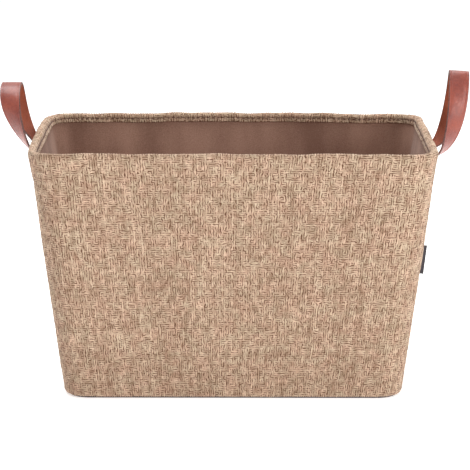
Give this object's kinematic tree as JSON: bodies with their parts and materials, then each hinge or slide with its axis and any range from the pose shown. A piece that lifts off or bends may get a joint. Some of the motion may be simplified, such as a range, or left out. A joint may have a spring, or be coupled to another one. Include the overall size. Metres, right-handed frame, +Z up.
{
  "type": "fabric storage bin",
  "caption": "Tapered rectangular storage bin of woven fabric over paperboard, with a plain lining, a loose floor insert and looped leather strap handles on the short sides.",
  "frame": {"origin": "middle of the underside, on the surface that the bin stands on", "axes": "+Z up, +X to the right along the long side, +Y to the back along the short side"},
  "size_m": [0.5111, 0.299, 0.3394],
  "materials": {
    "woven_cover": "coarse burlap-like basket weave in sand and brown",
    "lining": "smooth plain taupe lining cloth",
    "base_fabric": "dark grey pressed non-woven",
    "paperboard": "grey-brown paperboard",
    "thread": "twisted sewing thread",
    "strap_leather": "smooth cognac leather with dark painted edges",
    "rivet_brass": "satin old brass",
    "tab_webbing": "black woven tape"
  },
  "bodies": {
    "bin": {"outer_cover_front": "woven_cover", "outer_cover_back": "woven_cover", "base_cover": "base_fabric", "front_board": "paperboard", "back_board": "paperboard", "left_board": "paperboard", "right_board": "paperboard", "base_board": "paperboard", "lining_front": "lining", "lining_back": "lining", "lining_floor": "lining", "rim_stitching": "thread", "left_strap_ends": "strap_leather", "right_strap_ends": "strap_leather", "left_rivets": "rivet_brass", "right_rivets": "rivet_brass", "left_rivet_sockets": "rivet_brass", "right_rivet_sockets": "rivet_brass", "side_tab": "tab_webbing"},
    "left_handle": {"left_strap_loop": "strap_leather"},
    "right_handle": {"right_strap_loop": "strap_leather"},
    "floor_insert": {"insert_board": "paperboard", "insert_cover": "lining"}
  },
  "joints": [
    {"name": "left_handle_fold", "type": "hinge", "parent": "bin", "child": "left_handle", "pos_m": [-0.21909, 0, 0.25282], "axis": [0, -1, 0], "range_deg": [-20, 128], "stiffness_Nm_per_rad": 0.2},
    {"name": "right_handle_fold", "type": "hinge", "parent": "bin", "child": "right_handle", "pos_m": [0.21909, 0, 0.25282], "axis": [0, 1, 0], "range_deg": [-20, 128], "stiffness_Nm_per_rad": 0.2},
    {"name": "floor_insert_lift", "type": "slide", "parent": "bin", "child": "floor_insert", "axis": [0, 0, 1], "range_m": [0, 0.3]}
  ]
}
